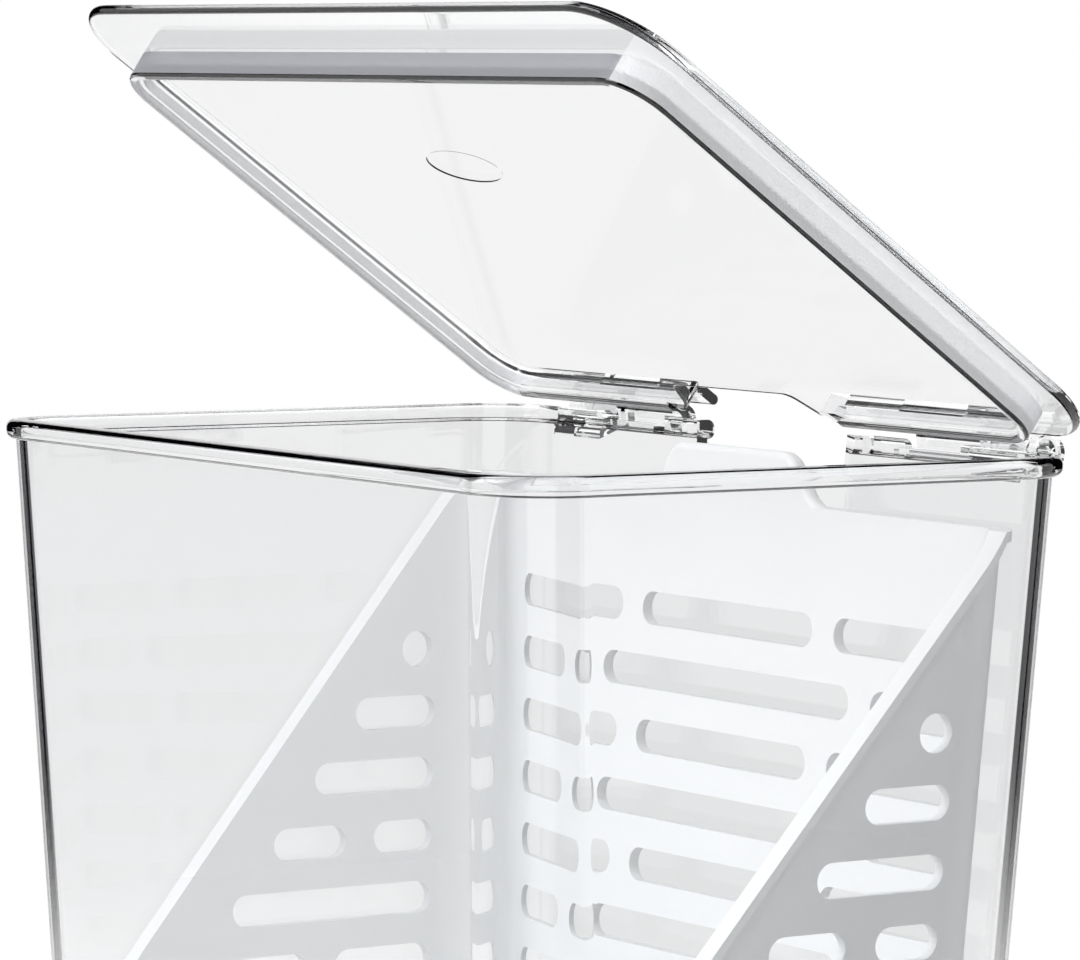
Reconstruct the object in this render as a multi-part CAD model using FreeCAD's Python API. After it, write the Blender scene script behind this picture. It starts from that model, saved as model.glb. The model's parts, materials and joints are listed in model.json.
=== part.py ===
import FreeCAD, Part
import math
import os

V = FreeCAD.Vector

# Frame: X along the hinge, Y from the front lip to the hinge side, Z up, origin at the centre of the base.

# Driving dimensions of the clear container (mm). Plan sizes are those at RIM_MID.
RIM_TOP = 232.0          # height of the rim
BEAD_HEIGHT = 3.0
BEAD_OUT = 1.4           # how far the rim bead stands out from the wall
BEAD_ROUND = 1.3
RIM_MID = RIM_TOP - BEAD_HEIGHT / 2
WALL_HALF_X = 73.6       # outer wall, half width
WALL_HALF_Y = 49.05      # outer wall, half depth
WALL_RADIUS = 11.9       # outer radius of the upright corners
WALL = 2.0               # wall thickness
FLOOR = 2.6              # floor thickness
DRAFT = math.tan(math.radians(3.0))   # the walls lean in by 3 degrees a side
BASE_RADIUS = 4.0        # round of the base edge
INNER_X = WALL_HALF_X - WALL
INNER_Y = WALL_HALF_Y - WALL

# Finger notch, posts and hinge recesses in the rear rim, from the middle outwards.
NOTCH_HALF = 18.3
NOTCH_DEPTH = 17.5
NOTCH_ROUND = 3.0
POST_WIDTH = 5.0
POST_ROUND = 1.1
POST_OUT = NOTCH_HALF + POST_WIDTH
LOW_WIDTH = 7.7          # deeper stretch of the recess; the bead's lip goes on behind it
STEP_X = POST_OUT + LOW_WIDTH
RECESS_LOW = RIM_MID - 1.1
RECESS_HIGH = RIM_MID + 0.3

# Hinge. The knuckles belong to the container, the arms and pins to the lid.
AXIS_OUT = 2.85          # from the bead's outer face
AXIS_Y = WALL_HALF_Y + BEAD_OUT + AXIS_OUT
AXIS_Z = RIM_MID + 0.9
PIN_RADIUS = 1.2
PIN_CLEARANCE = 0.05     # radial running fit of the pin in its bore
PIN_END_GAP = 0.5        # between the pin's end and the bore's blind end
KNUCKLE_RADIUS = 2.2
END_DISC_RADIUS = 2.7
DISC_WIDTH = 2.8
SIDE_CLEARANCE = 0.4     # beside the lid arm
ARM_WIDTH = 15.2
ARM_IN = STEP_X + SIDE_CLEARANCE
ARM_OUT = ARM_IN + ARM_WIDTH
KNUCKLE_IN = ARM_OUT + SIDE_CLEARANCE
KNUCKLE_WIDTH = 13.0
KNUCKLE_OUT = KNUCKLE_IN + KNUCKLE_WIDTH
DISC_IN = KNUCKLE_OUT - DISC_WIDTH
WEB_DROP = 4.4           # the knuckle's web meets the wall this far below the axis
SNAP_SLOT = 1.9          # mouth of the snap bore, narrower than the pin
OPEN_LIMIT = 105.0       # the lid stops here, on the lugs of the knuckles
LUG_WIDTH = 3.5
LUG_IN = 0.6             # the lug starts this far behind the axis
LUG_GAP = 0.1            # left between lug and lid at the limit

# Driving dimensions of the clear lid, given closed.
OPEN_ANGLE = 35.0        # the lid is modelled open by this much
PLATE = 1.65             # thickness of the lid's flange plate
PLATE_LIFT = 0.25        # gap between rim and closed plate
PLATE_OVER = 0.95        # overhang of the plate past the rim at the sides
PLATE_LIP = 5.25         # overhang at the front, for the finger
PLATE_HALF_X = WALL_HALF_X + BEAD_OUT + PLATE_OVER
PLATE_FRONT = -(WALL_HALF_Y + BEAD_OUT + PLATE_LIP)
PLATE_REAR = AXIS_Y - 3.15
PLATE_RADIUS = WALL_RADIUS + 1.0
PLATE_LOW = RIM_TOP + PLATE_LIFT
PLUG_HALF_X = INNER_X - 1.5
PLUG_FRONT = -INNER_Y + 1.8
PLUG_REAR = INNER_Y - 1.85
PLUG_RADIUS = 7.8
PLUG_WALL = 2.2
PLUG_DROP = 3.7          # how far the sunk panel reaches below the plate
PLUG_DRAFT = 0.1         # the plug is narrower by this much at its lower edge
PLUG_ROUND = 0.5
PLUG_RIM = 0.75          # the plug's wall goes on below the panel by this much
PLUG_RIM_WIDTH = 1.6
PLUG_RIM_END = 22.0      # the rim stops this far from the middle, beside the rear cut-out
PLUG_LOW = PLATE_LOW - PLUG_DROP
PLUG_BOTTOM = PLUG_LOW - PLUG_RIM
PANEL = 1.8
CUT_FRONT = PLUG_REAR - 7.0   # front edge of the rear cut-out
CUT_HALF = (14.8, 17.3, 20.4)    # half widths at the front edge, behind the steep sides and at the rear
CUT_STEEP = PLUG_REAR - 1.8
CUT_SHOULDER = PLUG_REAR + 0.8
CUT_ROUND = 2.4          # round of the front corners
ARM_ROOT = 1.75          # the arm grows out of the plate over this depth
BADGE_HALF = (9.0, 4.0)  # plain oval sunk in the underside of the panel
BADGE_Y = -21.5
BADGE_DEPTH = 0.25

# Driving dimensions of the white basket. Plan sizes are those of its outer faces at RIM_MID.
BASKET_HALF_X = INNER_X - 2.3
BASKET_BACK = INNER_Y - 5.45
BASKET_FRONT = -INNER_Y + 2.35
BASKET_RADIUS = 8.5
BASKET_WALL = 1.8
BASKET_FLOOR = FLOOR + 6.4   # underside of the basket floor
BASKET_EDGE = 3.5        # round of the lower edge
BASKET_TOP = RIM_MID - 9.1
SLOPE_INSET = 4.4        # the side walls start to slope down this far in front of the back
SLOPE_TOP_Y = BASKET_BACK - SLOPE_INSET
SLOPE = 0.86             # forward run per millimetre of fall
FLANGE = 1.6             # thickness of the flange
FLANGE_OUT = 1.6         # how far it stands out
TAB_HALF = 17.7
TAB_CORNER = 5.0         # round of the upper corners
TAB_FLARE = 6.0          # radius of the flared roots
TAB_RISE = 0.65          # the tab stands up into the closed lid's cut-out by this much
TAB_TOP = PLUG_LOW + TAB_RISE
TAB_THICK = 2.6
TAB_ROUND = 1.0
SLOT_HEIGHT = 5.2
ROW_PITCH = 10.0
ROW_TOP = BASKET_TOP - 18.4
ROW_LOWEST = BASKET_FLOOR + 9.0
MIDDLE_ODD = 22.0        # half length of the middle slot in odd rows
MIDDLE_EVEN = 31.8       # and in even rows
BRIDGE = 5.3             # solid left between two slots of one row
SLOT_END = 10.0          # solid left beside a slot at an upright corner
SIDE_NEAR = SLOPE_TOP_Y - 14.8   # front end of the side slots in row 2
SIDE_STEP = 7.9          # each row below starts this much further forward
SIDE_REAR = SLOPE_TOP_Y - 5.2    # rear end of the side slots
SIDE_SPLIT = 0.54        # share of the front slot where a side row has two
HOLE = 5.8               # the single round hole in row 2
HOLE_Y = SIDE_REAR - 5.5
FLOOR_SLOT = 3.6
FLOOR_PITCH = 8.2
FLOOR_ROWS = 7
FLOOR_MIDDLE = 14.0      # half length of the middle floor slots
FLOOR_END = 13.7         # solid left beside the outer floor slots
FOOT = (14.0, 7.0)
FOOT_RADIUS = 2.5
FOOT_INSET = (15.7, 9.0)  # from the floor's edges to the middle of a foot

# Cutters run this far past what they cut.
PAST = 8.0


def rounded_wire(x0, x1, y0, y1, radius, z):
    """A closed rounded rectangle in the horizontal plane at height z."""
    k = radius * (1 - math.sqrt(0.5))
    edges = [
        Part.makeLine(V(x0 + radius, y0, z), V(x1 - radius, y0, z)),
        Part.Arc(V(x1 - radius, y0, z), V(x1 - k, y0 + k, z), V(x1, y0 + radius, z)).toShape(),
        Part.makeLine(V(x1, y0 + radius, z), V(x1, y1 - radius, z)),
        Part.Arc(V(x1, y1 - radius, z), V(x1 - k, y1 - k, z), V(x1 - radius, y1, z)).toShape(),
        Part.makeLine(V(x1 - radius, y1, z), V(x0 + radius, y1, z)),
        Part.Arc(V(x0 + radius, y1, z), V(x0 + k, y1 - k, z), V(x0, y1 - radius, z)).toShape(),
        Part.makeLine(V(x0, y1 - radius, z), V(x0, y0 + radius, z)),
        Part.Arc(V(x0, y0 + radius, z), V(x0 + k, y0 + k, z), V(x0 + radius, y0, z)).toShape(),
    ]
    return Part.Wire(edges)


def leaning_prism(x0, x1, y0, y1, radius, z0, z1, spread):
    """A rounded rectangle at z0 that grows by spread on every side up to z1; its corners keep the radius."""
    low = rounded_wire(x0, x1, y0, y1, radius, z0)
    high = rounded_wire(x0 - spread, x1 + spread, y0 - spread, y1 + spread, radius, z1)
    return Part.makeLoft([low, high], True, True)


def leaning_block(half_x, back, front, radius, z0, z1):
    """A solid with leaning walls between two heights; sizes are those at RIM_MID."""
    fall = (RIM_MID - z0) * DRAFT
    return leaning_prism(-half_x + fall, half_x - fall, front + fall, back - fall, radius, z0, z1,
                         (z1 - z0) * DRAFT)


def prism(points, x0, x1):
    """A polygon given in Y and Z, extruded along X."""
    wire = Part.makePolygon([V(x0, y, z) for y, z in points] + [V(x0, *points[0])])
    return Part.Face(wire).extrude(V(x1 - x0, 0, 0))


def rod(x0, x1, radius):
    """A round rod on the hinge axis."""
    return Part.makeCylinder(radius, x1 - x0, V(x0, AXIS_Y, AXIS_Z), V(1, 0, 0))


def box(x0, x1, y0, y1, z0, z1):
    return Part.makeBox(x1 - x0, y1 - y0, z1 - z0, V(x0, y0, z0))


def edges_near(shape, test):
    """Edges whose middle passes the test."""
    found = []
    for edge in shape.Edges:
        middle = edge.valueAt((edge.FirstParameter + edge.LastParameter) / 2)
        if test(middle, edge):
            found.append(edge)
    return found


def rim_bead():
    """The outward bead with a rounded nose."""
    x = WALL_HALF_X + BEAD_OUT
    y = WALL_HALF_Y + BEAD_OUT
    z0 = RIM_TOP - BEAD_HEIGHT
    ring = Part.Face(rounded_wire(-x, x, -y, y, WALL_RADIUS + BEAD_OUT, z0)).extrude(V(0, 0, BEAD_HEIGHT))
    rims = edges_near(ring, lambda p, e: abs(abs(p.z - RIM_MID) - BEAD_HEIGHT / 2) < 0.01)
    return ring.makeFillet(BEAD_ROUND, rims)


def tangent_point(y, z, side):
    """Where a line from a point touches the knuckle's circle; side is 1 below it and -1 above."""
    dy, dz = AXIS_Y - y, AXIS_Z - z
    reach = math.hypot(dy, dz)
    angle = math.atan2(dz, dy) - side * math.asin(KNUCKLE_RADIUS / reach)
    run = math.sqrt(reach ** 2 - KNUCKLE_RADIUS ** 2)
    return y + run * math.cos(angle), z + run * math.sin(angle)


def swung(y, z, angle):
    """A point of the closed lid after the lid has opened by an angle in degrees."""
    c, s = math.cos(math.radians(angle)), math.sin(math.radians(angle))
    dy, dz = y - AXIS_Y, z - AXIS_Z
    return AXIS_Y + dy * c + dz * s, AXIS_Z - dy * s + dz * c


def knuckle(side):
    """Hinge knuckle behind the rim with its web, end disc and open-stop lug."""
    a, b = sorted((side * KNUCKLE_IN, side * KNUCKLE_OUT))
    c, d = sorted((side * DISC_IN, side * KNUCKLE_OUT))
    root = WALL_HALF_Y - WALL / 2
    low = AXIS_Z - WEB_DROP
    web = prism([(root, low), (root, AXIS_Z), (AXIS_Y, AXIS_Z), tangent_point(root, low, 1)], a, b)
    e, f = sorted((side * KNUCKLE_IN, side * (KNUCKLE_IN + LUG_WIDTH)))
    rear, top = swung(PLATE_REAR, PLATE_LOW + PLATE, OPEN_LIMIT)
    lug = box(e, f, AXIS_Y + LUG_IN, rear + 0.5, AXIS_Z - KNUCKLE_RADIUS / 2, top - LUG_GAP)
    return rod(a, b, KNUCKLE_RADIUS).fuse([web, rod(c, d, END_DISC_RADIUS), lug])


def snap_bore(side):
    """Blind bore for the pin and its narrower mouth at the top."""
    a, b = sorted((side * (KNUCKLE_IN - 1), side * DISC_IN))
    half = SNAP_SLOT / 2
    mouth = box(a, b, AXIS_Y - half, AXIS_Y + half, AXIS_Z, AXIS_Z + 2 * KNUCKLE_RADIUS)
    return rod(a, b, PIN_RADIUS + PIN_CLEARANCE).fuse(mouth)


def recess(side):
    """Lowered stretch of the rear rim that lets the lid arm swing."""
    a, b = sorted((side * POST_OUT, side * (STEP_X + 0.01)))
    low = box(a, b, INNER_Y - PAST, WALL_HALF_Y + 0.1, RECESS_LOW, RIM_TOP + 1)
    c, d = sorted((side * STEP_X, side * (KNUCKLE_IN - 0.1)))
    high = box(c, d, INNER_Y - PAST, WALL_HALF_Y + BEAD_OUT + 1, RECESS_HIGH, RIM_TOP + 1)
    return low.fuse(high)


def finger_notch():
    """Notch through the middle of the rear wall."""
    z0 = RIM_TOP - NOTCH_DEPTH
    block = box(-NOTCH_HALF, NOTCH_HALF, INNER_Y - PAST, WALL_HALF_Y + PAST, z0, RIM_TOP + 1)
    corners = edges_near(block, lambda p, e: abs(p.z - z0) < 0.01 and abs(abs(p.x) - NOTCH_HALF) < 0.01)
    return block.makeFillet(NOTCH_ROUND, corners)


def make_container():
    outer = leaning_block(WALL_HALF_X, WALL_HALF_Y, -WALL_HALF_Y, WALL_RADIUS, 0, RIM_MID)
    base = edges_near(outer, lambda p, e: abs(p.z) < 0.01)
    outer = outer.makeFillet(BASE_RADIUS, base)
    inner = leaning_block(INNER_X, INNER_Y, -INNER_Y, WALL_RADIUS - WALL, FLOOR, RIM_TOP + 1)
    inside = edges_near(inner, lambda p, e: abs(p.z - FLOOR) < 0.01)
    inner = inner.makeFillet(BASE_RADIUS - WALL / 2, inside)
    shell = outer.fuse([rim_bead(), knuckle(1), knuckle(-1)])
    shell = shell.cut([inner, finger_notch(), recess(1), recess(-1), snap_bore(1), snap_bore(-1)])
    shell = shell.removeSplitter()
    posts = edges_near(shell, lambda p, e: abs(p.z - RIM_TOP) < 0.01 and p.y > INNER_Y - 0.1
                       and (abs(abs(p.x) - NOTCH_HALF) < 0.05 or abs(abs(p.x) - POST_OUT) < 0.05))
    return shell.makeFillet(POST_ROUND, posts)


def lid_cut_out():
    """The rear cut-out of the lid as a solid: steep sides that flare out, rounded front corners."""
    front, steep, rear = CUT_HALF
    half = [(front, CUT_FRONT), (steep, CUT_STEEP), (rear, CUT_SHOULDER), (rear, PLATE_REAR + PAST)]
    outline = [(-x, y) for x, y in reversed(half)] + half
    wire = Part.makePolygon([V(x, y, PLUG_LOW - PAST) for x, y in outline + outline[:1]])
    solid = Part.Face(wire).extrude(V(0, 0, PLUG_DROP + 2 * PAST))
    corners = edges_near(solid, lambda p, e: abs(abs(p.x) - front) < 0.01 and abs(p.y - CUT_FRONT) < 0.01)
    return solid.makeFillet(CUT_ROUND, corners)


def lid_plate():
    """Flange plate with a full-round edge; the rear cut-out is square."""
    wire = rounded_wire(-PLATE_HALF_X, PLATE_HALF_X, PLATE_FRONT, PLATE_REAR, PLATE_RADIUS, PLATE_LOW)
    plate = Part.Face(wire).extrude(V(0, 0, PLATE))
    return plate.makeFillet(PLATE / 2 - 0.03, edges_near(plate, lambda p, e: abs(e.Length - PLATE) > 0.01))


def lid_plug():
    """The part that drops into the rim, with leaning sides."""
    x = PLUG_HALF_X - PLUG_DRAFT
    return leaning_prism(-x, x, PLUG_FRONT + PLUG_DRAFT, PLUG_REAR - PLUG_DRAFT, PLUG_RADIUS,
                         PLUG_BOTTOM, PLATE_LOW + PLATE / 4, PLUG_DRAFT)


def plug_hollow():
    """The shallow hollow under the panel, inside the rim."""
    inset = PLUG_DRAFT + PLUG_RIM_WIDTH
    x = PLUG_HALF_X - inset
    wire = rounded_wire(-x, x, PLUG_FRONT + inset, PLUG_REAR - inset, PLUG_RADIUS - PLUG_RIM_WIDTH, PLUG_LOW)
    return Part.Face(wire).extrude(V(0, 0, -PAST))


def lid_tray():
    """The hollow above the sunk panel."""
    low = PLUG_LOW + PANEL
    x = PLUG_HALF_X - PLUG_WALL
    wire = rounded_wire(-x, x, PLUG_FRONT + PLUG_WALL, PLUG_REAR - PLUG_WALL, PLUG_RADIUS - PLUG_WALL, low)
    return Part.Face(wire).extrude(V(0, 0, PLUG_DROP + PAST))


def lid_arm(side):
    """Arm that reaches back over the recess, with the pin that snaps into the knuckle."""
    a, b = sorted((side * ARM_IN, side * ARM_OUT))
    top = AXIS_Z + KNUCKLE_RADIUS
    root = PLATE_REAR - ARM_ROOT
    under = (PLATE_REAR - PLATE / 2, PLATE_LOW + 0.1)
    web = prism([(root, top), (AXIS_Y, top), (AXIS_Y, AXIS_Z), tangent_point(*under, 1), under], a, b)
    c, d = sorted((side * (ARM_IN + 1), side * (DISC_IN - PIN_END_GAP)))
    return rod(a, b, KNUCKLE_RADIUS).fuse([web, rod(c, d, PIN_RADIUS)])


def badge():
    """Plain oval dimple on the underside of the panel."""
    oval = Part.Ellipse(V(0, BADGE_Y, PLUG_LOW - 1), BADGE_HALF[0], BADGE_HALF[1]).toShape()
    return Part.Face(Part.Wire([oval])).extrude(V(0, 0, 1 + BADGE_DEPTH))


def make_lid():
    """Built closed, then swung open about the hinge axis. The rim leaves the cut-out free."""
    body = lid_plate().fuse(lid_plug())
    body = body.cut([lid_tray(), plug_hollow()])
    body = body.makeFillet(PLUG_ROUND, edges_near(body, lambda p, e: abs(p.z - PLUG_BOTTOM) < 0.01))
    gap = box(-PLUG_RIM_END, PLUG_RIM_END, CUT_STEEP - PLUG_RIM_WIDTH, PLUG_REAR + PAST,
              PLUG_LOW - PAST, PLUG_LOW)
    body = body.cut([gap, lid_cut_out()]).removeSplitter()
    sides = edges_near(body, lambda p, e: abs(p.z - PLUG_LOW) < 0.01 and abs(p.x) < CUT_HALF[2]
                       and CUT_FRONT - 0.1 < p.y < PLUG_REAR - PLUG_DRAFT - 0.02)
    body = body.makeFillet(PLUG_ROUND, sides)
    body = body.cut(badge()).fuse([lid_arm(1), lid_arm(-1)]).removeSplitter()
    body.rotate(V(0, AXIS_Y, AXIS_Z), V(1, 0, 0), -OPEN_ANGLE)
    return body


def slope_y(z):
    """Where the sloping edge of the basket's side wall is at height z."""
    return SLOPE_TOP_Y - (BASKET_TOP - z) * SLOPE


def front_top():
    """Height at which the slope meets the front wall, half a millimetre inside its outer face."""
    at_top = SLOPE_TOP_Y - BASKET_FRONT - (RIM_MID - BASKET_TOP) * DRAFT - 0.5
    return BASKET_TOP - at_top / (SLOPE + DRAFT)


def side_profile(drop, low):
    """Side view of the basket: everything below its top edge, lowered by drop."""
    z1 = BASKET_TOP - drop
    run = drop * math.hypot(SLOPE, 1) - drop * SLOPE
    z2 = front_top() - drop
    rear, front = BASKET_BACK + 2 * PAST, BASKET_FRONT - 2 * PAST
    return [(rear, low), (rear, z1), (SLOPE_TOP_Y + run * 0.5, z1), (slope_y(z2 + drop) + run * 0.5, z2),
            (front, z2), (front, low)]


def slot(x0, x1, z, height):
    """Outline of one slot with round ends, in its own plane; x along the wall."""
    r = height / 2
    if x1 - x0 <= height + 0.01:
        return Part.Wire([Part.makeCircle(r, V((x0 + x1) / 2, 0, z), V(0, 1, 0))])
    a, b = x0 + r, x1 - r
    edges = [
        Part.makeLine(V(a, 0, z - r), V(b, 0, z - r)),
        Part.Arc(V(b, 0, z - r), V(x1, 0, z), V(b, 0, z + r)).toShape(),
        Part.makeLine(V(b, 0, z + r), V(a, 0, z + r)),
        Part.Arc(V(a, 0, z + r), V(x0, 0, z), V(a, 0, z - r)).toShape(),
    ]
    return Part.Wire(edges)


def spans(row, left, right, middle):
    """Slots of one row between left and right: odd rows have three or two, even rows are shifted."""
    half = MIDDLE_ODD if row % 2 else MIDDLE_EVEN
    if middle:
        cells = [(left, -half - BRIDGE), (-half, half), (half + BRIDGE, right)]
        return [c for c in cells if c[1] - c[0] >= SLOT_HEIGHT]
    if row % 2 and row > 4:
        split = left + (right - left) * SIDE_SPLIT
        return [(left, split - BRIDGE / 2), (split + BRIDGE / 2, right)]
    return [(left, right)]


def cutter(x0, x1, z, height):
    """A slot as a solid that passes through a wall lying in the X-Z plane at y = 0."""
    return Part.Face(slot(x0, x1, z, height)).extrude(V(0, 2 * PAST, 0)).translated(V(0, -PAST, 0))


def end_wall_slots(row, z, fall):
    """Slots of one row in the rear wall, and in the front wall where it is high enough."""
    reach = BASKET_HALF_X - fall - SLOT_END
    walls = [BASKET_BACK - fall]
    if z < front_top() - SLOT_HEIGHT - FLANGE:
        walls.append(BASKET_FRONT + fall)
    return [cutter(a, b, z, SLOT_HEIGHT).translated(V(0, y, 0))
            for a, b in spans(row, -reach, reach, True) for y in walls]


def side_wall_slots(row, z, fall):
    """Slots of one row in both side walls; they follow the sloping edge."""
    if row == 1:
        return []
    height = SLOT_HEIGHT
    near = max(SIDE_NEAR - SIDE_STEP * (row - 2), BASKET_FRONT + fall + SLOT_END)
    cells = spans(row, near, SIDE_REAR - fall, False)
    if row == 2:
        height = HOLE
        cells = [(HOLE_Y - HOLE / 2, HOLE_Y + HOLE / 2)]
    tools = []
    for a, b in cells:
        for side in (1, -1):
            hole = cutter(a, b, z, height)
            hole.rotate(V(0, 0, 0), V(0, 0, 1), 90)
            tools.append(hole.translated(V(side * (BASKET_HALF_X - fall), 0, 0)))
    return tools


def slot_tools():
    """All the slots of the four walls, row by row from the top."""
    tools = []
    row = 1
    z = ROW_TOP
    while z > ROW_LOWEST:
        fall = (RIM_MID - z) * DRAFT
        tools += end_wall_slots(row, z, fall) + side_wall_slots(row, z, fall)
        row += 1
        z -= ROW_PITCH
    return tools


def floor_slots():
    """Drain slots in the basket floor, in three columns."""
    fall = (RIM_MID - BASKET_FLOOR) * DRAFT
    middle = (BASKET_BACK + BASKET_FRONT) / 2
    end = BASKET_HALF_X - fall - FLOOR_END
    inner = FLOOR_MIDDLE + BRIDGE
    tools = []
    for i in range(FLOOR_ROWS):
        y = middle + (i - (FLOOR_ROWS - 1) / 2) * FLOOR_PITCH
        for a, b in ((-end, -inner), (-FLOOR_MIDDLE, FLOOR_MIDDLE), (inner, end)):
            hole = Part.Face(slot(a, b, 0, FLOOR_SLOT)).extrude(V(0, 2 * BASKET_WALL, 0))
            hole.rotate(V(0, 0, 0), V(1, 0, 0), 90)
            tools.append(hole.translated(V(0, y, BASKET_FLOOR - BASKET_WALL / 2)))
    return tools


def on_circle(x, z, radius, angle):
    """A point of a circle in the X-Z plane; the angle counts from +X, in radians."""
    return V(x + radius * math.cos(angle), 0, z + radius * math.sin(angle))


def basket_tab():
    """Grip tab on top of the rear wall: round upper corners that run into flared roots."""
    z0 = BASKET_TOP - 1.0
    x1, z1 = TAB_HALF - TAB_CORNER, TAB_TOP - TAB_CORNER
    z2 = BASKET_TOP + TAB_FLARE
    x2 = x1 + math.sqrt((TAB_CORNER + TAB_FLARE) ** 2 - (z2 - z1) ** 2)
    turn = math.atan2(z2 - z1, x2 - x1)
    corner = [on_circle(x1, z1, TAB_CORNER, a) for a in (math.pi / 2, math.pi / 4 + turn / 2, turn)]
    low = math.pi * 1.5
    flare = [on_circle(x2, z2, TAB_FLARE, a) for a in (math.pi + turn, (math.pi + turn + low) / 2, low)]
    edges = [Part.makeLine(V(-x2, 0, z0), V(x2, 0, z0)), Part.makeLine(V(-x1, 0, TAB_TOP), V(x1, 0, TAB_TOP))]
    for s in (1, -1):
        for arc in (corner, flare):
            edges.append(Part.Arc(*[V(s * p.x, 0, p.z) for p in arc]).toShape())
        edges.append(Part.makeLine(V(s * x2, 0, BASKET_TOP), V(s * x2, 0, z0)))
    face = Part.Face(Part.Wire(Part.__sortEdges__(edges)))
    front = BASKET_BACK - (RIM_MID - BASKET_TOP) * DRAFT - BASKET_WALL
    tab = face.extrude(V(0, TAB_THICK, 0)).translated(V(0, front, 0))
    rims = edges_near(tab, lambda p, e: p.z > BASKET_TOP + 0.3 and abs(p.y - front - TAB_THICK / 2) > 0.5)
    return tab.makeFillet(TAB_ROUND, rims)


def basket_foot(x, y):
    """Short foot that stands on the container floor."""
    half_x, half_y = FOOT[0] / 2, FOOT[1] / 2
    wire = rounded_wire(x - half_x, x + half_x, y - half_y, y + half_y, FOOT_RADIUS, FLOOR)
    return Part.Face(wire).extrude(V(0, 0, BASKET_FLOOR - FLOOR + BASKET_WALL / 2))


def basket_feet():
    fall = (RIM_MID - BASKET_FLOOR) * DRAFT
    x = BASKET_HALF_X - fall - FOOT_INSET[0]
    rows = (BASKET_FRONT + fall + FOOT_INSET[1], BASKET_BACK - fall - FOOT_INSET[1])
    return [basket_foot(side * x, y) for side in (-1, 1) for y in rows]


def make_basket():
    outer = leaning_block(BASKET_HALF_X, BASKET_BACK, BASKET_FRONT, BASKET_RADIUS, BASKET_FLOOR, RIM_MID)
    outer = outer.makeFillet(BASKET_EDGE, edges_near(outer, lambda p, e: abs(p.z - BASKET_FLOOR) < 0.01))
    w = BASKET_WALL
    inner = leaning_block(BASKET_HALF_X - w, BASKET_BACK - w, BASKET_FRONT + w, BASKET_RADIUS - w,
                          BASKET_FLOOR + w, RIM_MID + 1)
    lowest = edges_near(inner, lambda p, e: abs(p.z - BASKET_FLOOR - w) < 0.01)
    inner = inner.makeFillet(BASKET_EDGE - w, lowest)
    far = 2 * BASKET_HALF_X
    below = prism(side_profile(0, 0), -far, far)
    lower = prism(side_profile(FLANGE, 0), -far, far)
    g = FLANGE_OUT
    lip = leaning_block(BASKET_HALF_X + g, BASKET_BACK + g, BASKET_FRONT - g, BASKET_RADIUS + g,
                        BASKET_FLOOR, RIM_MID)
    flange = lip.common(below.cut(lower))
    body = outer.common(below).fuse([flange] + basket_feet()).cut(inner)
    body = body.fuse(basket_tab())
    return body.cut(slot_tools() + floor_slots()).removeSplitter()


def main():
    os.makedirs("parts", exist_ok=True)
    for name, shape in (("container", make_container()), ("lid", make_lid()), ("basket", make_basket())):
        if shape.ShapeType == "Compound" and len(shape.Solids) == 1:
            shape = shape.Solids[0]
        box_ = shape.optimalBoundingBox(False)
        print(name, shape.ShapeType, "solids", len(shape.Solids), "valid", shape.isValid(),
              "volume", round(shape.Volume, 1))
        print("  x %.2f %.2f  y %.2f %.2f  z %.2f %.2f" % (box_.XMin, box_.XMax, box_.YMin, box_.YMax,
                                                         box_.ZMin, box_.ZMax))
        shape.exportStep("parts/%s.step" % name)


main()
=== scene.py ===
# %% [markdown]
# A herb keeper: a tall clear box with a hinged clear lid, and a white slotted basket that lifts out by a tab.
# The frame comes first and its box is kept. The basket keeps
# its solid's mesh and is only dressed. The two clear pieces are modelled again here, with the sizes of their
# solids.

# %% Load the frame
import json
import math

import bmesh
import bpy
from mathutils import Matrix, Vector


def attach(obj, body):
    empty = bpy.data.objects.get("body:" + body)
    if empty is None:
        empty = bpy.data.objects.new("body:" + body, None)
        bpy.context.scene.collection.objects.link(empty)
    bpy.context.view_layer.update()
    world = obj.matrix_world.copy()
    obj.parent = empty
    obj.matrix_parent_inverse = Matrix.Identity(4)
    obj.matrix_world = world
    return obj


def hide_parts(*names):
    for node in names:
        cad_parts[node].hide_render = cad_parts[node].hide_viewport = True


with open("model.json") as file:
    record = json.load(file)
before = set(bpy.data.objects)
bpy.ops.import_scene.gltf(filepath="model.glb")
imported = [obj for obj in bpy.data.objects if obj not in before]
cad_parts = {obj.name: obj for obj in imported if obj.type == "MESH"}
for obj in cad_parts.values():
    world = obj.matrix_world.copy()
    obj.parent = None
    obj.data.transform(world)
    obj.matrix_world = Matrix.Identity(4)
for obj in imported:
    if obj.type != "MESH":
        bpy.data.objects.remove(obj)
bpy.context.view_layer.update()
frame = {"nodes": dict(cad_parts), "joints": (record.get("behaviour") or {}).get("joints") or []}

nodes = frame["nodes"]

# %% [markdown]
# The camera stands where the photographer's stood: a long lens, a little above the rim, looking over the near
# upright corner. Its place comes from the rim, the lid and the basket rows, solved together as one picture.
# A long lens is kept as a focal length in pixels of the photograph's 1080 pixel width.

# %% Camera
FOCAL_PIXELS = 5612.5
FRAME_WIDTH = 1080
SENSOR = 36.0
CAMERA_PLACE = Vector((0.69204, -0.46426, 0.28572))
YAW, PITCH, ROLL = (math.radians(a) for a in (55.891, 4.138, -0.564))


def camera_axes(yaw, pitch, roll):
    """Right, up and forward of a camera that turns left by yaw, looks down by pitch and rolls."""
    forward = Vector((-math.sin(yaw) * math.cos(pitch), math.cos(yaw) * math.cos(pitch), -math.sin(pitch)))
    level = Vector((math.cos(yaw), math.sin(yaw), 0))
    down = forward.cross(level)
    right = math.cos(roll) * level + math.sin(roll) * down
    below = math.cos(roll) * down - math.sin(roll) * level
    return right, -below, forward


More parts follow.
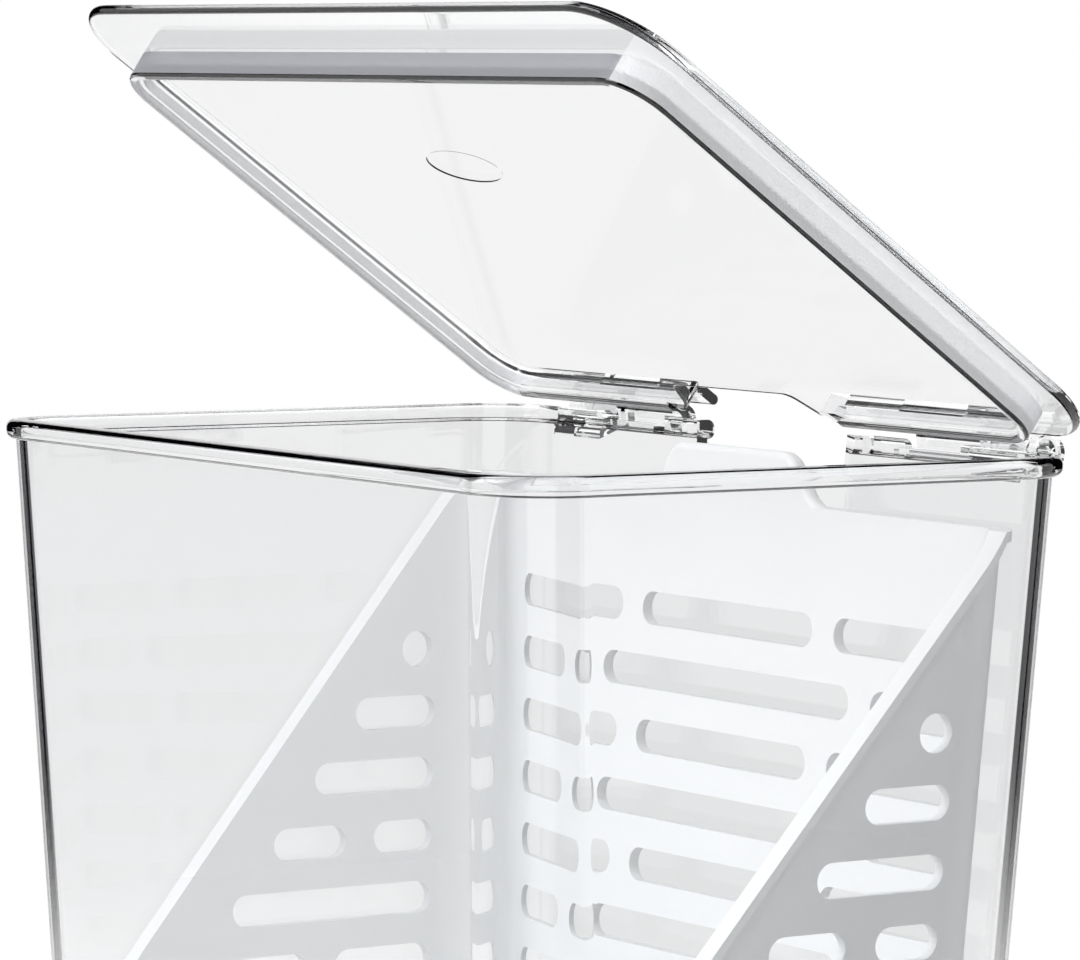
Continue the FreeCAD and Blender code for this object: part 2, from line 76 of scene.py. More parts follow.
def make_camera():
    data = bpy.data.cameras.new("camera")
    data.sensor_width = SENSOR
    data.lens = FOCAL_PIXELS / FRAME_WIDTH * SENSOR
    data.clip_end = 20
    camera = bpy.data.objects.new("camera", data)
    bpy.context.scene.collection.objects.link(camera)
    right, up, forward = camera_axes(YAW, PITCH, ROLL)
    turn = Matrix((right, up, -forward)).transposed()
    camera.matrix_world = Matrix.Translation(CAMERA_PLACE) @ turn.to_4x4()
    bpy.context.scene.camera = camera
    return camera


camera = make_camera()
print("lens", round(camera.data.lens, 2), "mm")

# %% [markdown]
# Clear plastic is judged by what is around it. Photographers put it before a white sheet with black flags at
# both sides of it and white panels beside those, so flat walls mirror white and an edge that bends light
# sideways is a black line. The world does the same for mirrored rays, while straight rays see white. Rays
# that light the basket see a soft studio that is brighter overhead and in front than at the back.

# %% Studio light
BACKDROP = 1.0
SEEN_THROUGH = 0.90
WHITE_PANEL = 0.95
FLAG_COLOUR = (0.006, 0.005, 0.009, 1)
BACKDROP_AZIMUTH = math.radians(90) + YAW      # the camera looks this way, so the white sheet hangs there
FLAG_FROM, FLAG_TO = math.radians(19), math.radians(58)     # a flag's two edges, to either side of that
FLAG_SOFT = math.radians(2)
FLAG_ABOVE = math.radians(22)                  # black above and below this elevation
FILL = 0.38
FILL_OVERHEAD = 1.05
FILL_FRONT = 0.38
OVERHEAD_FROM, OVERHEAD_TO = 0.1, 0.7          # height of a ray's direction
FRONT_TO = 0.9                                 # how far a ray's direction turns to the front or back
KEY_PLACE = (-0.35, -1.5, 1.3)
KEY_AIM = (0, 0, 0.15)
KEY_SIZE = 1.0
KEY_WATTS = 14


def node(tree, kind, place, **values):
    """A node at a place, with values for its sockets by name or its settings by attribute."""
    made = tree.nodes.new(kind)
    made.location = place
    for key, value in values.items():
        if hasattr(made, key):
            setattr(made, key, value)
        else:
            made.inputs[key.replace("_", " ")].default_value = value
    return made


def maths(tree, operation, a, b, place):
    """A Math node fed by sockets or plain numbers."""
    made = node(tree, "ShaderNodeMath", place, operation=operation)
    for socket, value in zip(made.inputs, (a, b)):
        if isinstance(value, (int, float)):
            socket.default_value = value
        else:
            tree.links.new(value, socket)
    return made.outputs[0]


def ramp(tree, value, start, end, low, high, place):
    """A smooth step of a value, from low at its start to high at its end."""
    made = node(tree, "ShaderNodeMapRange", place, interpolation_type="SMOOTHSTEP", From_Min=start,
                From_Max=end, To_Min=low, To_Max=high)
    tree.links.new(value, made.inputs["Value"])
    return made.outputs[0]


def colour_mix(tree, factor, a, b, place):
    """A colour mix; factor, a and b are sockets or plain values."""
    made = node(tree, "ShaderNodeMix", place, data_type="RGBA")
    for socket, value in zip((made.inputs[0], made.inputs[6], made.inputs[7]), (factor, a, b)):
        if isinstance(value, (int, float, tuple)):
            socket.default_value = value
        else:
            tree.links.new(value, socket)
    return made.outputs[2]


def grey(level):
    return (level, level, level, 1)


def empty_material(name):
    """A material without shader nodes, and its tree."""
    material = bpy.data.materials.new(name)
    material.use_nodes = True
    material.node_tree.nodes.clear()
    return material, material.node_tree


def make_world():
    world = bpy.data.worlds.new("studio")
    world.use_nodes = True
    tree = world.node_tree
    tree.nodes.clear()
    path = node(tree, "ShaderNodeLightPath", (-1300, 500))
    direction = node(tree, "ShaderNodeTexCoord", (-1900, -200))
    parts = node(tree, "ShaderNodeSeparateXYZ", (-1700, -200))
    tree.links.new(direction.outputs["Generated"], parts.inputs[0])
    x, y, z = parts.outputs
    azimuth = maths(tree, "ARCTAN2", y, x, (-1500, 0))
    turned = maths(tree, "SUBTRACT", azimuth, BACKDROP_AZIMUTH, (-1300, 0))
    aside = maths(tree, "PINGPONG", turned, math.pi / 2, (-1100, 0))
    begun = ramp(tree, aside, FLAG_FROM, FLAG_FROM + FLAG_SOFT, 0, 1, (-900, 100))
    ended = ramp(tree, aside, FLAG_TO, FLAG_TO + FLAG_SOFT, 0, 1, (-900, -100))
    flags = maths(tree, "SUBTRACT", begun, ended, (-700, 0))
    level = maths(tree, "ARCSINE", z, 0, (-1500, -300))
    tilt = maths(tree, "ABSOLUTE", level, 0, (-1300, -300))
    over = ramp(tree, tilt, FLAG_ABOVE, FLAG_ABOVE + FLAG_SOFT, 0, 1, (-1100, -300))
    dark = maths(tree, "MAXIMUM", flags, over, (-500, -100))
    mirrored = colour_mix(tree, dark, grey(WHITE_PANEL), FLAG_COLOUR, (-300, 0))
    inside = maths(tree, "GREATER_THAN", path.outputs["Glossy Depth"], 0.5, (-700, 400))
    above = ramp(tree, level, FLAG_ABOVE, FLAG_ABOVE + FLAG_SOFT, 0, 1, (-700, 250))
    straight = colour_mix(tree, above, grey(SEEN_THROUGH), FLAG_COLOUR, (-300, 250))
    clear = colour_mix(tree, inside, straight, mirrored, (-100, 200))
    overhead = ramp(tree, z, OVERHEAD_FROM, OVERHEAD_TO, FILL, FILL + FILL_OVERHEAD, (-900, -500))
    front = ramp(tree, y, -FRONT_TO, FRONT_TO, FILL_FRONT, -FILL_FRONT, (-900, -700))
    soft = maths(tree, "ADD", overhead, front, (-700, -600))
    lighting = maths(tree, "GREATER_THAN", path.outputs["Diffuse Depth"], 0.5, (-700, 600))
    lit = colour_mix(tree, lighting, clear, soft, (100, 200))
    seen = colour_mix(tree, path.outputs["Is Camera Ray"], lit, grey(BACKDROP), (300, 300))
    shine = node(tree, "ShaderNodeBackground", (500, 200))
    tree.links.new(seen, shine.inputs["Color"])
    out = node(tree, "ShaderNodeOutputWorld", (700, 200))
    tree.links.new(shine.outputs[0], out.inputs[0])
    bpy.context.scene.world = world


def softbox(name, place, aim, size, watts):
    """A square area light at a place, turned to a point."""
    data = bpy.data.lights.new(name, "AREA")
    data.shape = "SQUARE"
    data.size = size
    data.energy = watts
    lamp = bpy.data.objects.new(name, data)
    bpy.context.scene.collection.objects.link(lamp)
    lamp.location = place
    lamp.rotation_euler = (Vector(aim) - Vector(place)).to_track_quat("-Z", "Y").to_euler()


bpy.context.scene.view_settings.view_transform = "Standard"
make_world()
softbox("key", KEY_PLACE, KEY_AIM, KEY_SIZE, KEY_WATTS)
print("world and key light ready")

# %% [markdown]
# The floor is a plain pale sheet. It keeps the soft shadow under the base and fades into the white backdrop.

# %% Floor
FLOOR_RADIUS = 1.6
FLOOR_STEPS = 96
FLOOR_COLOUR = (0.93, 0.93, 0.93, 1)
FADE_FROM, FADE_TO = 0.25, 1.2     # the sheet fades out between these distances


def make_floor():
    bm = bmesh.new()
    bmesh.ops.create_circle(bm, cap_ends=True, radius=FLOOR_RADIUS, segments=FLOOR_STEPS)
    mesh = bpy.data.meshes.new("floor")
    bm.to_mesh(mesh)
    bm.free()
    floor = bpy.data.objects.new("floor", mesh)
    bpy.context.scene.collection.objects.link(floor)
    material, tree = empty_material("pale floor")
    spot = node(tree, "ShaderNodeTexCoord", (-900, 0))
    far = node(tree, "ShaderNodeVectorMath", (-700, 0), operation="LENGTH")
    tree.links.new(spot.outputs["Object"], far.inputs[0])
    fade = node(tree, "ShaderNodeMapRange", (-500, 0), interpolation_type="SMOOTHSTEP", From_Min=FADE_FROM,
                From_Max=FADE_TO)
    tree.links.new(far.outputs["Value"], fade.inputs["Value"])
    matt = node(tree, "ShaderNodeBsdfDiffuse", (-300, 100), Color=FLOOR_COLOUR)
    clear = node(tree, "ShaderNodeBsdfTransparent", (-300, -100))
    mix = node(tree, "ShaderNodeMixShader", (0, 0))
    tree.links.new(fade.outputs[0], mix.inputs[0])
    tree.links.new(matt.outputs[0], mix.inputs[1])
    tree.links.new(clear.outputs[0], mix.inputs[2])
    out = node(tree, "ShaderNodeOutputMaterial", (200, 0))
    tree.links.new(mix.outputs[0], out.inputs[0])
    mesh.materials.append(material)


make_floor()
print("floor", FLOOR_RADIUS, "m across its radius")

# %% [markdown]
# Moulded plastic is never quite even: the sheen drifts a little across a wall and the surface has a faint
# swell. One group makes both from noise on Object coordinates, and every material takes its own amounts.

# %% Moulded surface group


def moulded_surface():
    group = bpy.data.node_groups.new("moulded surface", "ShaderNodeTree")
    face = group.interface
    for name, value in (("Roughness", 0.05), ("Drift", 0.02), ("Scale", 30.0), ("Grain Scale", 900.0),
                        ("Swell", 0.6), ("Grain", 0.1)):
        socket = face.new_socket(name, in_out="INPUT", socket_type="NodeSocketFloat")
        socket.default_value = value
    face.new_socket("Roughness", in_out="OUTPUT", socket_type="NodeSocketFloat")
    face.new_socket("Height", in_out="OUTPUT", socket_type="NodeSocketFloat")
    face.new_socket("Shade", in_out="OUTPUT", socket_type="NodeSocketFloat")
    given = node(group, "NodeGroupInput", (-1100, 0))
    out = node(group, "NodeGroupOutput", (500, 0))
    spot = node(group, "ShaderNodeTexCoord", (-1100, 300))
    swell = node(group, "ShaderNodeTexNoise", (-800, 200), Detail=2.0)
    grain = node(group, "ShaderNodeTexNoise", (-800, -100), Detail=1.0)
    for texture, scale in ((swell, "Scale"), (grain, "Grain Scale")):
        group.links.new(spot.outputs["Object"], texture.inputs["Vector"])
        group.links.new(given.outputs[scale], texture.inputs["Scale"])
    centred = maths(group, "SUBTRACT", swell.outputs["Fac"], 0.5, (-500, 200))
    drift = maths(group, "MULTIPLY", centred, given.outputs["Drift"], (-300, 250))
    rough = maths(group, "ADD", drift, given.outputs["Roughness"], (-100, 250))
    slow = maths(group, "MULTIPLY", swell.outputs["Fac"], given.outputs["Swell"], (-300, 50))
    fine = maths(group, "MULTIPLY", grain.outputs["Fac"], given.outputs["Grain"], (-300, -100))
    height = maths(group, "ADD", slow, fine, (-100, 0))
    group.links.new(rough, out.inputs["Roughness"])
    group.links.new(height, out.inputs["Height"])
    group.links.new(swell.outputs["Fac"], out.inputs["Shade"])
    return group


surface = moulded_surface()
print("group", surface.name, len(surface.nodes), "nodes")

# %% [markdown]
# The box and the lid are clear styrene. Their look is nearly all refraction, so the walls keep both faces at
# their true distance and the shader is plain transmission with the plastic's own index of refraction. Light
# for shadows passes through, as it does through a clear wall. The mould was left sparked on the faces of the
# lid's plug, which makes them a fine frost, and its front faces carry painted shade, a much darker grey; the
# hinge side was polished.

# %% Clear plastic
STYRENE_INDEX = 1.57
CLEAR = (0.985, 0.99, 0.995, 1)
CLEAR_THICK = (0.94, 0.943, 0.947, 1)   # the box's walls absorb a little more light
FROSTED = (0.90, 0.905, 0.93, 1)
# painted shade: the front faces of the plug's frost are coloured far darker than the rest of the frost
FROSTED_FRONT_PAINTED_SHADE = (0.40, 0.405, 0.44, 1)
FROST_CLEAR = 0.40       # share of the frosted faces that still lets light through
FROST_ROUGHNESS = 0.42
FROST_BUMP = (0.5, 0.0002)     # strength and depth of the frost's grain
TONE_DRIFT = 0.99        # the tint drifts down to this share of itself
SHADOW_TINT = (0.95, 0.96, 0.97, 1)
PANEL_CLEAR = (0.995, 0.995, 0.997, 1)
PANEL_SHINE = 0.12       # share of the full mirror image that shows on the lid's panel


def surface_node(tree, place, **values):
    made = node(tree, "ShaderNodeGroup", place, node_tree=surface)
    for name, value in values.items():
        made.inputs[name.replace("_", " ")].default_value = value
    return made


def bumped(tree, height, strength, distance, place):
    bump = node(tree, "ShaderNodeBump", place, Strength=strength, Distance=distance)
    tree.links.new(height, bump.inputs["Height"])
    return bump.outputs["Normal"]


def drifting(tree, moulded, colour, share, place):
    """A colour that drifts with the surface's shade, down to a share of itself."""
    drifted = tuple(c * share for c in colour[:3]) + (1,)
    return colour_mix(tree, moulded.outputs["Shade"], colour, drifted, place)


def clear_plastic(name, colour, frost=0.0, through=1.0):
    """Clear moulded plastic; frost is how rough the face was left, through how much of it stays clear."""
    material, tree = empty_material(name)
    body = node(tree, "ShaderNodeBsdfPrincipled", (-200, 0), IOR=STYRENE_INDEX, Transmission_Weight=through,
                Roughness=frost)
    moulded = surface_node(tree, (-900, 0), Roughness=frost, Drift=0.1, Scale=60.0, Grain_Scale=2600.0,
                           Swell=0.1, Grain=1.0)
    tone = drifting(tree, moulded, colour, TONE_DRIFT, (-500, 200))
    tree.links.new(tone, body.inputs["Base Color"])
    if frost:
        tree.links.new(moulded.outputs["Roughness"], body.inputs["Roughness"])
        grain = bumped(tree, moulded.outputs["Height"], *FROST_BUMP, (-500, -200))
        tree.links.new(grain, body.inputs["Normal"])
    path = node(tree, "ShaderNodeLightPath", (-200, 400))
    clear = node(tree, "ShaderNodeBsdfTransparent", (-200, -500), Color=SHADOW_TINT)
    mix = node(tree, "ShaderNodeMixShader", (200, 0))
    tree.links.new(path.outputs["Is Shadow Ray"], mix.inputs[0])
    tree.links.new(body.outputs[0], mix.inputs[1])
    tree.links.new(clear.outputs[0], mix.inputs[2])
    out = node(tree, "ShaderNodeOutputMaterial", (400, 0))
    tree.links.new(mix.outputs[0], out.inputs[0])
    return material


def calm_panel(name):
    """The lid's flat panel, whose mirror images are weak against the white behind it."""
    material = clear_plastic(name, CLEAR)
    tree = material.node_tree
    body = next(n for n in tree.nodes if n.type == "BSDF_PRINCIPLED")
    shown = body.outputs[0].links[0].to_socket
    through = node(tree, "ShaderNodeBsdfRefraction", (-200, 200), Color=PANEL_CLEAR, IOR=STYRENE_INDEX,
                   Roughness=0.0)
    mix = node(tree, "ShaderNodeMixShader", (50, 100), Fac=PANEL_SHINE)
    tree.links.new(through.outputs[0], mix.inputs[1])
    tree.links.new(body.outputs[0], mix.inputs[2])
    tree.links.new(mix.outputs[0], shown)
    return material


clear_box = clear_plastic("clear box", CLEAR_THICK)
clear_lid = clear_plastic("clear lid", CLEAR)
frosted_lid = clear_plastic("frosted lid", FROSTED, FROST_ROUGHNESS, FROST_CLEAR)
frosted_front_painted_shade = clear_plastic("frosted front painted shade", FROSTED_FRONT_PAINTED_SHADE, FROST_ROUGHNESS, FROST_CLEAR)
panel_lid = calm_panel("clear panel")
print("clear plastic", STYRENE_INDEX)

# %% [markdown]
# Light bends most in the rounded corners and in the rim, so both clear pieces are modelled here on even
# rings, with the sizes of the solids they stand for. Each is one section swept round a rounded rectangle, and
# the hinge's side is cut and added to it. A ring of vertices lies just beside each bend, which keeps flat
# walls flat to the eye and to the light.

# %% Sizes of the clear pieces, in mm
RIM_TOP = 232.0
BEAD_HEIGHT = 3.0
BEAD_OUT = 1.4
BEAD_ROUND = 1.3
RIM_MID = RIM_TOP - BEAD_HEIGHT / 2
WALL_HALF_X = 73.6
WALL_HALF_Y = 49.05
WALL_RADIUS = 11.9
WALL = 2.0
FLOOR = 2.6
DRAFT = math.tan(math.radians(3.0))
BASE_RADIUS = 4.0
INNER_RADIUS = WALL_RADIUS - WALL
INNER_X = WALL_HALF_X - WALL
INNER_Y = WALL_HALF_Y - WALL
NOTCH_HALF = 18.3
NOTCH_DEPTH = 17.5
NOTCH_ROUND = 3.0
POST_ROUND = 1.1
POST_WIDTH = 5.0
POST_OUT = NOTCH_HALF + POST_WIDTH
LOW_WIDTH = 7.7          # deeper stretch of the recess; the bead's lip goes on behind it
STEP_X = POST_OUT + LOW_WIDTH
RECESS_LOW = RIM_MID - 1.1
RECESS_HIGH = RIM_MID + 0.3
AXIS_OUT = 2.85          # from the bead's outer face
AXIS_Y = WALL_HALF_Y + BEAD_OUT + AXIS_OUT
AXIS_Z = RIM_MID + 0.9
PIN_RADIUS = 1.2
PIN_CLEARANCE = 0.05
BORE_RADIUS = PIN_RADIUS + PIN_CLEARANCE
PIN_END_GAP = 0.5
KNUCKLE_RADIUS = 2.2
END_DISC_RADIUS = 2.7
SIDE_CLEARANCE = 0.4     # beside the lid's arm
ARM_WIDTH = 15.2
ARM_IN = STEP_X + SIDE_CLEARANCE
ARM_OUT = ARM_IN + ARM_WIDTH
KNUCKLE_IN = ARM_OUT + SIDE_CLEARANCE
KNUCKLE_WIDTH = 13.0
KNUCKLE_OUT = KNUCKLE_IN + KNUCKLE_WIDTH
DISC_WIDTH = 2.8
DISC_IN = KNUCKLE_OUT - DISC_WIDTH
WEB_DROP = 4.4
SNAP_SLOT = 1.9
OPEN_LIMIT = math.radians(105)
LUG_WIDTH = 3.5
LUG_IN = 0.6
LUG_GAP = 0.1
LUG_PAST = 0.5           # behind the open plate's edge
PLATE = 1.65
PLATE_LIFT = 0.25        # gap between rim and closed plate
PLATE_LOW = RIM_TOP + PLATE_LIFT
PLATE_OVER = 0.95        # past the bead at the sides
PLATE_LIP = 5.25         # past the bead in front
PLATE_BACK = 3.15        # from the plate's rear edge to the hinge axis
PLATE_HALF_X = WALL_HALF_X + BEAD_OUT + PLATE_OVER
PLATE_FRONT = -(WALL_HALF_Y + BEAD_OUT + PLATE_LIP)
PLATE_REAR = AXIS_Y - PLATE_BACK
PLATE_RADIUS = WALL_RADIUS + 1.0
PLUG_HALF_X = INNER_X - 1.5
PLUG_FRONT = -INNER_Y + 1.8
PLUG_REAR = INNER_Y - 1.85
PLUG_RADIUS = 7.8
PLUG_WALL = 2.2
PLUG_DRAFT = 0.1
PLUG_ROUND = 0.5
PLUG_DROP = 3.7          # how far the sunk panel reaches below the plate
PLUG_LOW = PLATE_LOW - PLUG_DROP
PLUG_RIM = 0.75          # the plug's wall goes on below the panel by this much
PLUG_BOTTOM = PLUG_LOW - PLUG_RIM
PLUG_RIM_WIDTH = 1.6
PLUG_RIM_END = 22.0
PANEL = 1.8
CUT_FRONT = PLUG_REAR - 7.0
CUT_HALF = (14.8, 17.3, 20.4)
CUT_STEEP = PLUG_REAR - 1.8
CUT_SHOULDER = PLUG_REAR + 0.8
CUT_ROUND = 2.4
ARM_ROOT = 1.75
BADGE_HALF = (9.0, 4.0)
BADGE_Y = -21.5
BADGE_DEPTH = 0.25
PAST = 8.0               # cutters run this far past what they cut
TOUCH = 0.1              # pieces and cutters that meet overlap by this much
HAIR = 0.01              # the same between the two cutters of a recess
BESIDE = 0.4             # from a bend to the ring of vertices beside it
CORNER_STEPS = 24
ROUND_STEPS = 8
EDGE_STEPS = 4           # on the small round of the lid's lower edges
ROD_STEPS = 48
MM = 0.001
MERGE, SMALLEST = 0.002, 0.001     # vertices nearer than the first merge; edges below the second go
SHARP = math.radians(28)
FLATS_LEAD = 100         # the largest weight: big flat faces decide the shading
MITRE_LEAST = 0.5        # keeps a grown outline's sharp corners from running away

# %% Section and solid helpers


def ring(half_x, front, rear, radius, z):
    """The points of a rounded rectangle at height z, with a point beside each end of each corner's arc."""
    x, points = half_x - radius, []
    for cx, cy, start in ((x, rear - radius, 0), (-x, rear - radius, 90), (-x, front + radius, 180),
                          (x, front + radius, 270)):
        turns = [math.radians(start + 90 * i / CORNER_STEPS) for i in range(CORNER_STEPS + 1)]
        arc = [Vector((cx + radius * math.cos(a), cy + radius * math.sin(a), z)) for a in turns]
        along = [Vector((-math.sin(a), math.cos(a), 0)) for a in (turns[0], turns[-1])]
        points += [arc[0] - BESIDE * along[0], *arc, arc[-1] + BESIDE * along[1]]
    return points


def rounding(radius, steps=ROUND_STEPS):
    """How a quarter round leaves a flat: (across, along) pairs from the flat to the wall."""
    turns = [math.radians(90 * i / steps) for i in range(steps + 1)]
    return [(radius * (1 - math.sin(a)), radius * (1 - math.cos(a))) for a in turns]


def to_object(bm, name):
    bmesh.ops.recalc_face_normals(bm, faces=bm.faces)
    mesh = bpy.data.meshes.new(name)
    bm.to_mesh(mesh)
    bm.free()
    made = bpy.data.objects.new(name, mesh)
    bpy.context.scene.collection.objects.link(made)
    return made


def swept(name, rows, materials, frosted=()):
    """A closed solid through the rings of its rows. The frosted rows take the second material, the fourth in
    front and none at the rear, and the end caps then take the third."""
    bm = bmesh.new()
    rings = [[bm.verts.new(p) for p in ring(*row)] for row in rows]
    for number, (low, high) in enumerate(zip(rings, rings[1:])):
        for i in range(len(low)):
            j = (i + 1) % len(low)
            face = bm.faces.new((low[i], low[j], high[j], high[i]))
            across = low[i].co.y + low[j].co.y
            if number in frosted and abs(across - 2 * rows[number][2]) > 2 * BESIDE:
                # the front faces of the frosted rows take the fourth material, frost with painted shade
                face.material_index = 3 if abs(across - 2 * rows[number][1]) < 2 * BESIDE else 1
    for cap in (reversed(rings[0]), rings[-1]):
        bm.faces.new(cap).material_index = 2 if frosted else 0
    made = to_object(bm, name)
    for material in materials:
        made.data.materials.append(material)
    return made


def extruded(name, outline, run):
    """A flat outline of 3-D points, extruded by a vector."""
    bm = bmesh.new()
    face = bm.faces.new([bm.verts.new(p) for p in outline])
    end = bmesh.ops.extrude_face_region(bm, geom=[face])["geom"]
    bmesh.ops.translate(bm, vec=run, verts=[v for v in end if isinstance(v, bmesh.types.BMVert)])
    return to_object(bm, name)


def prism(name, points, x0, x1):
    """A polygon given in Y and Z, extruded along X."""
    return extruded(name, [Vector((x0, y, z)) for y, z in points], Vector((x1 - x0, 0, 0)))


def block(name, x0, x1, y0, y1, z0, z1):
    return prism(name, [(y0, z0), (y1, z0), (y1, z1), (y0, z1)], x0, x1)


def rod(name, x0, x1, radius):
    """A round rod on the hinge axis."""
    turns = [2 * math.pi * (i + 0.5) / ROD_STEPS for i in range(ROD_STEPS)]
    circle = [(AXIS_Y + radius * math.cos(a), AXIS_Z + radius * math.sin(a)) for a in turns]
    return prism(name, circle, x0, x1)


def combine(target, operation, tools):
    """Adds tools to the target or cuts them from it, one after the other, and removes them."""
    for tool in tools:
        step = target.modifiers.new("step", "BOOLEAN")
        step.operation = operation
        step.solver = "EXACT"
        step.object = tool
        shown = target.evaluated_get(bpy.context.evaluated_depsgraph_get())
        mesh = bpy.data.meshes.new_from_object(shown)
        target.modifiers.clear()
        target.data = mesh
        bpy.data.objects.remove(tool)


def place(piece, turn=Matrix.Identity(4)):
    """Cleans a finished piece and brings it to metres and to its place."""
    bm = bmesh.new()
    bm.from_mesh(piece.data)
    bmesh.ops.remove_doubles(bm, verts=bm.verts, dist=MERGE)
    bmesh.ops.dissolve_degenerate(bm, edges=bm.edges, dist=SMALLEST)
    bm.to_mesh(piece.data)
    open_edges = sum(1 for e in bm.edges if len(e.link_faces) != 2)
    bm.free()
    piece.data.transform(turn @ Matrix.Scale(MM, 4))
    piece.data.shade_smooth()
    piece.data.set_sharp_from_angle(angle=SHARP)
    even = piece.modifiers.new("even", "WEIGHTED_NORMAL")
    even.weight = FLATS_LEAD
    even.keep_sharp = True
    print(piece.name, len(piece.data.polygons), "faces, open edges", open_edges)


def tangent_point(y, z, side):
    """Where a line from a point touches the knuckle's circle; side is 1 below it and -1 above."""
    dy, dz = AXIS_Y - y, AXIS_Z - z
    reach = math.hypot(dy, dz)
    angle = math.atan2(dz, dy) - side * math.asin(KNUCKLE_RADIUS / reach)
    run = math.sqrt(reach ** 2 - KNUCKLE_RADIUS ** 2)
    return y + run * math.cos(angle), z + run * math.sin(angle)


def swung(y, z, angle):
    """A point of the closed lid after the lid has opened by an angle."""
    c, s = math.cos(angle), math.sin(angle)
    dy, dz = y - AXIS_Y, z - AXIS_Z
    return AXIS_Y + dy * c + dz * s, AXIS_Z - dy * s + dz * c


print("rings of", len(ring(PLATE_HALF_X, PLATE_FRONT, PLATE_REAR, PLATE_RADIUS, PLATE_LOW)), "points")

# %% [markdown]
# The box is one injection moulding with three degrees of draft. Its rear rim is cut for the fingers and
# lowered for the lid's arms. Two knuckles with blind snap bores stand behind it, and their small lugs stop
# the open lid.

# %% Clear box


def wall_row(half_x, half_y, radius, inset, z):
    """A ring of the leaning wall at height z, moved inwards by inset."""
    x, y = (half - (RIM_MID - z) * DRAFT - inset for half in (half_x, half_y))
    return x, -y, y, radius - inset, z


def outside(inset, z):
    return wall_row(WALL_HALF_X, WALL_HALF_Y, WALL_RADIUS, inset, z)


def inside(inset, z):
    return wall_row(INNER_X, INNER_Y, INNER_RADIUS, inset, z)


def bead(inset, z):
    x, y = WALL_HALF_X + BEAD_OUT - inset, WALL_HALF_Y + BEAD_OUT - inset
    return x, -y, y, WALL_RADIUS + BEAD_OUT - inset, z


def box_rows():
    """The section of the box, from the middle of its base up the wall, over the rim and down inside."""
    low = RIM_TOP - BEAD_HEIGHT
    inner_round = BASE_RADIUS - WALL / 2
    rows = [outside(BASE_RADIUS + BESIDE, 0)]
    rows += [outside(across, along) for across, along in rounding(BASE_RADIUS)]
    rows += [outside(0, BASE_RADIUS + BESIDE), outside(0, low - BESIDE), outside(0, low)]
    rows += [bead(across, low + along) for across, along in rounding(BEAD_ROUND)]
    rows += [bead(across, RIM_TOP - along) for across, along in reversed(rounding(BEAD_ROUND))]
    rows += [inside(-BESIDE, RIM_TOP), inside(0, RIM_TOP), inside(0, RIM_TOP - BESIDE)]
    rows += [inside(0, FLOOR + inner_round + BESIDE)]
    rows += [inside(across, FLOOR + along) for across, along in reversed(rounding(inner_round))]
    return rows + [inside(inner_round + BESIDE, FLOOR)]


def finger_notch():
    """The notch's outline with round lower corners and rounded posts, as a cutter through the rear wall."""
    floor_z = RIM_TOP - NOTCH_DEPTH
    low = [(NOTCH_HALF - across, floor_z + along) for across, along in rounding(NOTCH_ROUND)]
    post = [(NOTCH_HALF + along, RIM_TOP - across) for across, along in reversed(rounding(POST_ROUND))]
    side = low + post + [(NOTCH_HALF + POST_ROUND, RIM_TOP + 1)]
    outline = side + [(-x, z) for x, z in reversed(side)]
    front, rear = INNER_Y - PAST, WALL_HALF_Y + PAST
    return extruded("notch", [Vector((x, front, z)) for x, z in outline], Vector((0, rear - front, 0)))


def recess(side):
    """Lowered rim beside a post: a deeper stretch that keeps the bead's lip, then one through the bead."""
    a, b = sorted((side * POST_OUT, side * (STEP_X + HAIR)))
    c, d = sorted((side * STEP_X, side * (KNUCKLE_IN - TOUCH)))
    return [block("low", a, b, INNER_Y - PAST, WALL_HALF_Y + TOUCH, RECESS_LOW, RIM_TOP + 1),
            block("high", c, d, INNER_Y - PAST, WALL_HALF_Y + BEAD_OUT + 1, RECESS_HIGH, RIM_TOP + 1)]


def knuckle(side):
    """Knuckle with its web, end disc and open-stop lug."""
    a, b = sorted((side * KNUCKLE_IN, side * KNUCKLE_OUT))
    c, d = sorted((side * DISC_IN, side * KNUCKLE_OUT))
    e, f = sorted((side * KNUCKLE_IN, side * (KNUCKLE_IN + LUG_WIDTH)))
    root = WALL_HALF_Y - WALL / 2
    low = AXIS_Z - WEB_DROP
    rear, top = swung(PLATE_REAR, PLATE_LOW + PLATE, OPEN_LIMIT)
    web = [(root, low), (root, AXIS_Z), (AXIS_Y, AXIS_Z), tangent_point(root, low, 1)]
    return [prism("web", web, a, b), rod("barrel", a, b, KNUCKLE_RADIUS), rod("disc", c, d, END_DISC_RADIUS),
            block("lug", e, f, AXIS_Y + LUG_IN, rear + LUG_PAST, AXIS_Z - KNUCKLE_RADIUS / 2, top - LUG_GAP)]


def snap_bore(side):
    """Blind bore for the pin and its narrower mouth at the top."""
    a, b = sorted((side * (KNUCKLE_IN - 1), side * DISC_IN))
    half = SNAP_SLOT / 2
    return [rod("bore", a, b, BORE_RADIUS),
            block("mouth", a, b, AXIS_Y - half, AXIS_Y + half, AXIS_Z, AXIS_Z + 2 * KNUCKLE_RADIUS)]


box = swept("clear_box", box_rows(), [clear_box])
combine(box, "UNION", knuckle(1) + knuckle(-1))
combine(box, "DIFFERENCE", [finger_notch()] + recess(1) + recess(-1) + snap_bore(1) + snap_bore(-1))
place(box)
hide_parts("container")
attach(box, "body")

# %% [markdown]
# The lid is a second clear moulding: a flange plate with a full-round edge, and a sunk panel whose wall goes
# on below it as a low rim. The wall's outer faces were left frosted where they drop into the box. It is
# modelled closed and then swung open about the hinge.

# %% Clear lid
hinge = next(j for j in frame["joints"] if j["name"] == "lid_hinge")
LID_OPEN = math.radians(-hinge["range_deg"][0])
LID_MATERIALS = (clear_lid, frosted_lid, panel_lid, frosted_front_painted_shade)


